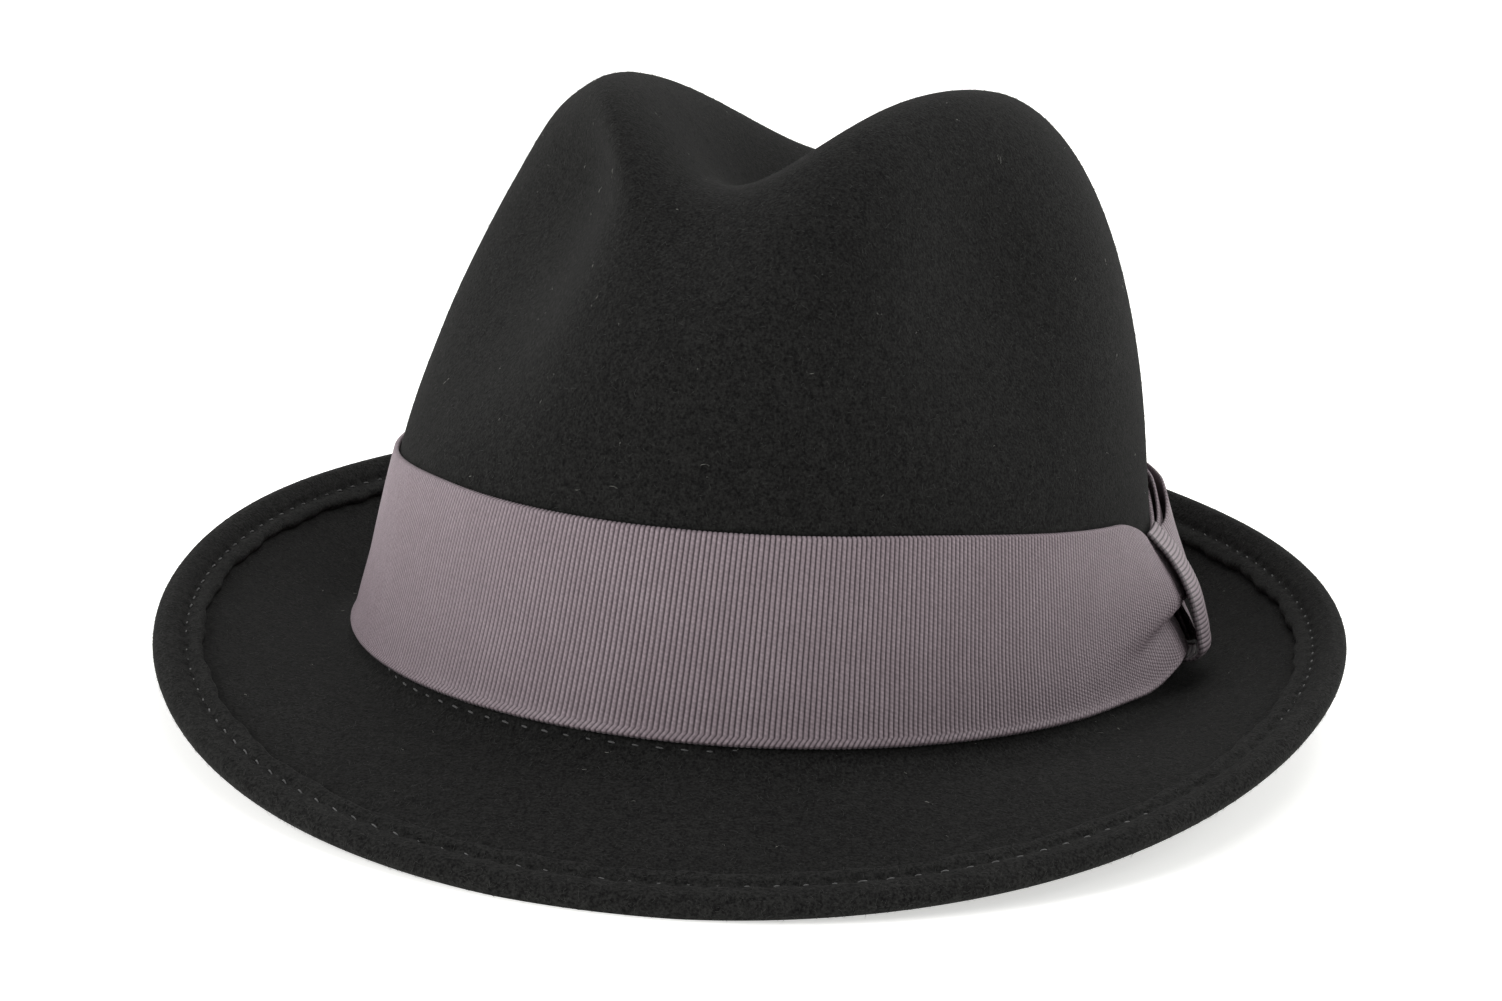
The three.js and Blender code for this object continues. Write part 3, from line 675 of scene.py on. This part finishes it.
nap = {
    "crownFibres": 12000, "brimFibres": 6000, "weltFibres": 6000,
    "lengths": (0.5, 1.4), "radius": 0.04, "rise": 0.26, "steps": 3,
    "hairs": 320, "hairLengths": (0.3, 1.9), "hairRadius": 0.055, "hairRise": 0.12, "hairSteps": 7,
    "curl": 1.4, "wave": 1.3, "taper": 0.35, "sunk": 0.04, "seed": 11,
}


def scattered(grid, count, chance):  # points spread evenly over a grid that goes round, with their normals
    beside = np.roll(grid, -1, axis=1)
    areas = np.linalg.norm(np.cross(beside[:-1] - grid[:-1], grid[1:] - grid[:-1]), axis=-1)
    pick = chance.choice(areas.size, count, p=areas.ravel() / areas.sum())
    i, j = np.divmod(pick, grid.shape[1])
    s, t = chance.random((2, count, 1))
    near = grid[i, j] * (1 - s) + beside[i, j] * s
    far = grid[i + 1, j] * (1 - s) + beside[i + 1, j] * s
    return near * (1 - t) + far * t, sheetNormals(grid)[i, j]


def strands(name, grid, count, lengths, radius, rise, steps, seed):  # loose fibres lying on the felt, tapered
    chance = np.random.default_rng(seed)
    roots, normals = scattered(grid, count, chance)
    turn = chance.uniform(0, 2 * math.pi, count)
    curl = chance.uniform(-nap["curl"], nap["curl"], count)
    length = chance.uniform(*lengths, count)
    lift = rise * chance.random(count) ** 1.5
    east = unit(np.cross(normals, [0.3, 0.1, 1]))
    north = np.cross(normals, east)
    line, at = [], roots - normals * nap["sunk"]
    for step in range(steps):
        bearing = turn + curl * step / (steps - 1)
        along = east * np.cos(bearing)[:, None] + north * np.sin(bearing)[:, None]
        line.append(at)
        climb = lift * math.cos(nap["wave"] * step)
        at = at + along * (length / (steps - 1))[:, None] + normals * climb[:, None]
    line = np.array(line).transpose(1, 0, 2)
    side = unit(np.cross(np.gradient(line, axis=1), normals[:, None]))
    turns = np.arange(3) * 2 * math.pi / 3
    ring = side[:, :, None] * np.cos(turns)[:, None] + normals[:, None, None] * np.sin(turns)[:, None]
    taper = radius * np.linspace(1, nap["taper"], steps)[:, None, None]
    points = (line[:, :, None] + ring * taper).reshape(-1, 3)
    one = np.array(gridFaces(steps, 3, True))
    faces = (one[None] + (np.arange(count) * steps * 3)[:, None, None]).reshape(-1, 4)
    return addMesh(name, placed(points), faces.tolist())


print("felt: raising the nap")
brimStart = hood["crownRows"] + hood["sideRows"] + hood["bendRows"] // 2
pastRawEdge = len(welt["rawEdge"]) - 1
short = (nap["lengths"], nap["radius"], nap["rise"], nap["steps"])
fibrePieces = [
    strands("crown_nap", hoodUpper[:brimStart], nap["crownFibres"], *short, nap["seed"]),
    strands("brim_nap", hoodUpper[brimStart:], nap["brimFibres"], *short, nap["seed"] + 1),
    strands("welt_nap", weltSheet[pastRawEdge:], nap["weltFibres"], *short, nap["seed"] + 2),
]
long = (nap["hairLengths"], nap["hairRadius"], nap["hairRise"], nap["hairSteps"])
lintPiece = strands("lint", hoodUpper, nap["hairs"], *long, nap["seed"] + 3)


def newMaterial(name):
    material = bpy.data.materials.new(name)
    material.use_nodes = True
    tree = material.node_tree
    tree.nodes.clear()
    return material, tree


feltLook = {
    "fibre": 0.00055, "tuft": 0.0016, "cloud": 0.03,  # metres across
    "dark": "#0a0a0a", "light": "#262625", "sheen": "#a0a0a0", "sheenWeight": 0.022,
    "cutEdgeHighlight": 2.2, "welt": 1.22,  # painted highlights: how much lighter than the hood the raw edge and the rest of the welt are painted, for the light that the edge and the rounded fold catch
}


def feltMaterial(name, cutEdgeHighlight):
    # Wool felt, blocked over a form, brushed and dyed black: a matt, slightly hairy face with no gloss, that
    # takes light as a soft bloom at grazing angles and shows fibre grain and faint clouds of nap.
    material, tree = newMaterial(name)
    place = addNode(tree, "TexCoord").outputs["Object"]
    fibre, tuft, cloud = [
        addNode(tree, "TexNoise", {
            "Vector": place, "Scale": 1 / feltLook[size], "Detail": 2, "Roughness": rough})
        for size, rough in (("fibre", 0.7), ("tuft", 0.6), ("cloud", 0.5))
    ]
    grain = addNode(tree, "Math", {0: fibre.outputs["Fac"], 1: 3.0, 2: tuft.outputs["Fac"]},
                    operation="MULTIPLY_ADD")
    grain = addNode(tree, "Math", {0: grain.outputs[0], 1: 0.25}, operation="MULTIPLY")
    tone = addNode(tree, "ValToRGB", {"Fac": grain.outputs[0]})
    low, high = tone.color_ramp.elements
    low.position, low.color = 0.36, linear(feltLook["dark"])
    high.position, high.color = 0.64, linear(feltLook["light"])
    wide = addNode(tree, "MapRange", {0: cloud.outputs["Fac"], 1: 0.35, 2: 0.65, 3: 0.94, 4: 1.06})
    lighter = wide.outputs[0]
    if cutEdgeHighlight:  # the welt, painted lighter: a painted highlight on its raw edge, where the cut fibres stand on end and catch the light, and a lighter tone over the rest for the light its rounded fold catches
        uv = addNode(tree, "UVMap", uv_map="millimetres").outputs["UV"]
        across = addNode(tree, "SeparateXYZ", {0: uv}).outputs["Y"]
        cut, weltHighlight = feltLook["cutEdgeHighlight"], feltLook["welt"]
        raw = addNode(tree, "MapRange", {0: across, 1: 0.15, 2: 0.6, 3: cut, 4: weltHighlight})
        lighter = addNode(tree, "Math", {0: lighter, 1: raw.outputs[0]}, operation="MULTIPLY").outputs[0]
    colour = addNode(tree, "VectorMath", {0: tone.outputs["Color"], 1: lighter}, operation="MULTIPLY")
    bumpFine = addNode(tree, "Bump", {"Height": fibre.outputs["Fac"], "Strength": 0.5, "Distance": 0.0003})
    bump = addNode(tree, "Bump", {"Height": tuft.outputs["Fac"], "Strength": 0.2, "Distance": 0.0004,
                                  "Normal": bumpFine.outputs["Normal"]})
    shader = addNode(tree, "BsdfPrincipled", {
        "Base Color": colour.outputs[0], "Normal": bump.outputs["Normal"], "Roughness": 0.95,
        "Specular IOR Level": 0.08, "Sheen Weight": feltLook["sheenWeight"], "Sheen Roughness": 0.6,
        "Sheen Tint": linear(feltLook["sheen"])})
    addNode(tree, "OutputMaterial", {"Surface": shader.outputs[0]})
    return material


ribbonLook = {
    "beadPitch": 0.8, "beads": (0.92, 1.08),  # mm, and their tones
    "cloud": 0.011, "grain": 0.0008, "grains": (0.88, 1.12),  # metres across, and tones
    "base": ("#85777d", "#94878d"), "edgeFrom": 1.3, "edgeTo": 0.7,  # mm from the edge over which the painted edge shade comes in
}


def ribbonMaterial(name, middle, half, paintedEdgeShade, paintedFurrowShade):
    # Grosgrain woven in rayon over stout weft cords: even ribs across the ribbon with a low silky light on
    # their backs, painted shade in the furrows between them, and the fine warp crossing them like rows of
    # beads. The beads are 0.5 mm apart on the real ribbon and drawn at 0.8 mm, so that the picture can hold
    # them.
    material, tree = newMaterial(name)
    uv = addNode(tree, "UVMap", uv_map="millimetres").outputs["UV"]
    parts = addNode(tree, "SeparateXYZ", {0: uv})
    halfU = addNode(tree, "Math", {0: parts.outputs["X"], 1: math.pi / band["ribPitch"]}, operation="MULTIPLY")
    turnU = addNode(tree, "Math", {0: halfU.outputs[0], 1: 2.0}, operation="MULTIPLY")
    rib = addNode(tree, "Math", {0: turnU.outputs[0]}, operation="COSINE")
    # Painted shade: the mask is 1 in the furrows between the ribs, where the colour turns to the painted furrow
    # shade.
    furrowShadeMask = addNode(tree, "MapRange", {0: rib.outputs[0], 1: 0.0, 2: 1.0, 3: 0.0, 4: 1.0})
    turnV = addNode(tree, "Math", {0: parts.outputs["Y"], 1: 2 * math.pi / ribbonLook["beadPitch"]},
                    operation="MULTIPLY")
    swap = addNode(tree, "Math", {0: turnV.outputs[0], 1: halfU.outputs[0]}, operation="ADD")
    bead = addNode(tree, "Math", {0: swap.outputs[0]}, operation="SINE")
    place = addNode(tree, "TexCoord").outputs["Object"]
    cloud, fine = [
        addNode(tree, "TexNoise", {
            "Vector": place, "Scale": 1 / ribbonLook[size], "Detail": detail, "Roughness": rough})
        for size, detail, rough in (("cloud", 3, 0.55), ("grain", 2, 0.6))
    ]
    darker, paler = [linear(tone) for tone in ribbonLook["base"]]
    base = addNode(tree, "Mix", {"Factor": cloud.outputs["Fac"], 6: darker, 7: paler}, data_type="RGBA")
    dark = addNode(tree, "Mix", {"Factor": furrowShadeMask.outputs[0], 6: base.outputs[2], 7: linear(paintedFurrowShade)},
                   data_type="RGBA")
    low, high = ribbonLook["beads"]
    beadTone = addNode(tree, "MapRange", {0: bead.outputs[0], 1: -1.0, 2: 1.0, 3: low, 4: high})
    low, high = ribbonLook["grains"]
    fineTone = addNode(tree, "MapRange", {0: fine.outputs["Fac"], 1: 0.3, 2: 0.7, 3: low, 4: high})
    both = addNode(tree, "Math", {0: beadTone.outputs[0], 1: fineTone.outputs[0]}, operation="MULTIPLY")
    # Painted shade at the edges: the colour darkens towards the strip's edges by the painted edge shade, which
    # is below one only on the knot.
    away = addNode(tree, "Math", {0: parts.outputs["Y"], 1: middle}, operation="SUBTRACT")
    away = addNode(tree, "Math", {0: away.outputs[0]}, operation="ABSOLUTE")
    start, end = half - ribbonLook["edgeFrom"], half - ribbonLook["edgeTo"]
    edge = addNode(tree, "MapRange", {0: away.outputs[0], 1: start, 2: end, 3: 1.0, 4: paintedEdgeShade})
    tone = addNode(tree, "Math", {0: both.outputs[0], 1: edge.outputs[0]}, operation="MULTIPLY")
    colour = addNode(tree, "VectorMath", {0: dark.outputs[2], 1: tone.outputs[0]}, operation="MULTIPLY")
    height = addNode(tree, "Math", {0: bead.outputs[0], 1: 0.5, 2: fine.outputs["Fac"]},
                     operation="MULTIPLY_ADD")
    bump = addNode(tree, "Bump", {"Height": height.outputs[0], "Strength": 0.6, "Distance": 0.0001})
    shader = addNode(tree, "BsdfPrincipled", {
        "Base Color": colour.outputs[0], "Normal": bump.outputs["Normal"], "Roughness": 0.55,
        "Specular IOR Level": 0.35, "Sheen Weight": 0.05, "Sheen Roughness": 0.4})
    addNode(tree, "OutputMaterial", {"Surface": shader.outputs[0]})
    return material


def threadMaterial():
    # Spun polyester sewing thread, dyed black: smoother than the felt, so each stitch catches a glint. Its
    # colour is painted dark to mid grey instead of black, as a painted glint on the thread.
    material, tree = newMaterial("sewing_thread_spun_glint_painted")
    place = addNode(tree, "TexCoord").outputs["Object"]
    ply = addNode(tree, "TexNoise", {"Vector": place, "Scale": 1 / 0.0006, "Detail": 1})
    bump = addNode(tree, "Bump", {"Height": ply.outputs["Fac"], "Strength": 0.5, "Distance": 0.0001})
    # Painted glint: grey colour on a black thread.
    tone = addNode(tree, "Mix", {"Factor": ply.outputs["Fac"], 6: linear("#303030"), 7: linear("#585858")},
                   data_type="RGBA")
    shader = addNode(tree, "BsdfPrincipled", {
        "Base Color": tone.outputs[2], "Normal": bump.outputs["Normal"], "Roughness": 0.45,
        "Sheen Weight": 0.3})
    addNode(tree, "OutputMaterial", {"Surface": shader.outputs[0]})
    return material


def fibreMaterial(name, tone):
    # Loose wool fibres: matt, and lighter than the felt they stand on because nothing shades them.
    material, tree = newMaterial(name)
    shader = addNode(tree, "BsdfPrincipled", {
        "Base Color": linear(tone), "Roughness": 0.8, "Specular IOR Level": 0.3})
    addNode(tree, "OutputMaterial", {"Surface": shader.outputs[0]})
    return material


print("materials")
felt = feltMaterial("black_wool_felt_brushed", cutEdgeHighlight=False)
highlitWeltFelt = feltMaterial("black_wool_felt_cut_highlit", cutEdgeHighlight=True)
halfBand, halfKnot = band["width"] / 2, bow["knotWidth"] / 2
# The knot takes a shaded copy of the grosgrain: its edges and its deeper furrows are painted shade, where the
# folded selvedge turns into the shade of the hollow.
grosgrain = ribbonMaterial("mauve_grey_grosgrain_woven", halfBand, halfBand, paintedEdgeShade=1.0, paintedFurrowShade="#554a4f")
shadedKnotGrosgrain = ribbonMaterial("mauve_grey_grosgrain_knot_shaded", 0, halfKnot, paintedEdgeShade=0.45, paintedFurrowShade="#3c3338")
thread = threadMaterial()
fibre = fibreMaterial("wool_fibre_loose", "#383836")
lint = fibreMaterial("pale_lint", "#8c8c86")
for piece, material, slot in [
    (feltHood, felt, "wool_felt"), (feltWelt, highlitWeltFelt, "wool_felt"), (weltStitches, thread, "wool_felt"),
    (footStitches, thread, "wool_felt"), (lintPiece, lint, "wool_felt"),
    *[(piece, fibre, "wool_felt") for piece in fibrePieces],
    (ribbonPiece, grosgrain, "grosgrain_ribbon"), (loopPiece, grosgrain, "grosgrain_ribbon"),
    (knotPiece, shadedKnotGrosgrain, "grosgrain_ribbon"),
]:
    piece.data.materials.append(material)

for node in ("felt_body", "ribbon_band", "bow_loop", "bow_knot"):
    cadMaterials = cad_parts[node].data.materials
    cadMaterials.clear()
    cadMaterials.append(felt if node == "felt_body" else grosgrain)

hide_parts("felt_body")
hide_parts("ribbon_band")
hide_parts("bow_loop")
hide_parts("bow_knot")

studio = {
    "floorColour": "#f4f4f2", "floorSize": 14, "wallAt": 1.6, "sweep": 0.7, "wallHeight": 3,
    "floorGlow": 0.62, "worldStrength": 0.28,
    "aim": (0, 0, 0.05),
    "lights": [  # name, place, size, power
        ("left", (-0.88, -0.8, 0.62), 0.7, 10),
        ("right", (1.1, 0.15, 0.6), 0.9, 5.5),
        ("top", (0.12, 0.35, 1.35), 1.1, 9.5),
    ],
}
lens = {  # mm and degrees, in the hat's own frame, and photo pixels to a millimetre at the hat
    "distance": 600, "elevation": 9.296, "turn": 11.016, "roll": 3.96,
    "aside": -3.917, "high": 32.457, "scale": 4.615, "imageWidth": 1502, "sensor": 36,
}


def addFloor():  # a paper sheet that sweeps up into the wall behind
    steps = 24
    half = studio["floorSize"] / 2
    profile = [(-half, 0)] + [
        (studio["wallAt"] + studio["sweep"] * math.sin(t), studio["sweep"] * (1 - math.cos(t)))
        for t in np.linspace(0, math.pi / 2, steps)
    ] + [(studio["wallAt"] + studio["sweep"], studio["wallHeight"])]
    points = [(x, y, z) for y, z in profile for x in (-half, half)]
    faces = [(2 * i, 2 * i + 1, 2 * i + 3, 2 * i + 2) for i in range(len(profile) - 1)]
    mesh = bpy.data.meshes.new("floor")
    mesh.from_pydata(points, [], faces)
    mesh.polygons.foreach_set("use_smooth", np.ones(len(faces), bool))
    floor = bpy.data.objects.new("floor", mesh)
    bpy.context.scene.collection.objects.link(floor)
    material, tree = newMaterial("paper_backdrop_matt")
    white = linear(studio["floorColour"])
    shader = addNode(tree, "BsdfPrincipled", {
        "Base Color": white, "Roughness": 0.9, "Emission Color": white,
        "Emission Strength": studio["floorGlow"]})
    addNode(tree, "OutputMaterial", {"Surface": shader.outputs[0]})
    mesh.materials.append(material)


def addLight(name, place, target, size, power):
    light = bpy.data.lights.new(name, "AREA")
    light.size, light.energy = size, power
    lamp = bpy.data.objects.new(name, light)
    lamp.location = place
    lamp.rotation_euler = (Vector(target) - Vector(place)).to_track_quat("-Z", "Y").to_euler()
    bpy.context.scene.collection.objects.link(lamp)


def addCamera():
    e, turn, roll = [math.radians(lens[k]) for k in ("elevation", "turn", "roll")]
    back = Vector((math.sin(turn) * math.cos(e), -math.cos(turn) * math.cos(e), math.sin(e)))
    right = Vector((math.cos(turn), math.sin(turn), 0))
    up = back.cross(right)
    place = right * lens["aside"] + Vector((0, 0, 1)) * lens["high"] + back * lens["distance"]
    side = math.cos(roll) * right + math.sin(roll) * up
    top = -math.sin(roll) * right + math.cos(roll) * up
    tip = Matrix.Rotation(-math.radians(resting["tilt"]), 3, "X")
    side, top, back, place = tip @ side, tip @ top, tip @ back, (tip @ place + Vector(shift)) / 1000
    data = bpy.data.cameras.new("camera")
    data.sensor_width = lens["sensor"]
    data.lens = lens["scale"] * lens["distance"] / lens["imageWidth"] * lens["sensor"]
    data.clip_start, data.clip_end = 0.01, 20
    camera = bpy.data.objects.new("camera", data)
    rows = [(side[i], top[i], back[i], place[i]) for i in range(3)]
    camera.matrix_world = Matrix((*rows, (0, 0, 0, 1)))
    bpy.context.scene.collection.objects.link(camera)
    bpy.context.scene.camera = camera


print("studio")
addFloor()
for name, place, size, power in studio["lights"]:
    addLight(name, place, studio["aim"], size, power)
world = bpy.data.worlds.new("studio")
bpy.context.scene.world = world
world.use_nodes = True
world.node_tree.nodes["Background"].inputs["Color"].default_value = (1, 1, 1, 1)
world.node_tree.nodes["Background"].inputs["Strength"].default_value = studio["worldStrength"]
bpy.context.scene.view_settings.view_transform = "Standard"
addCamera()

print("done")
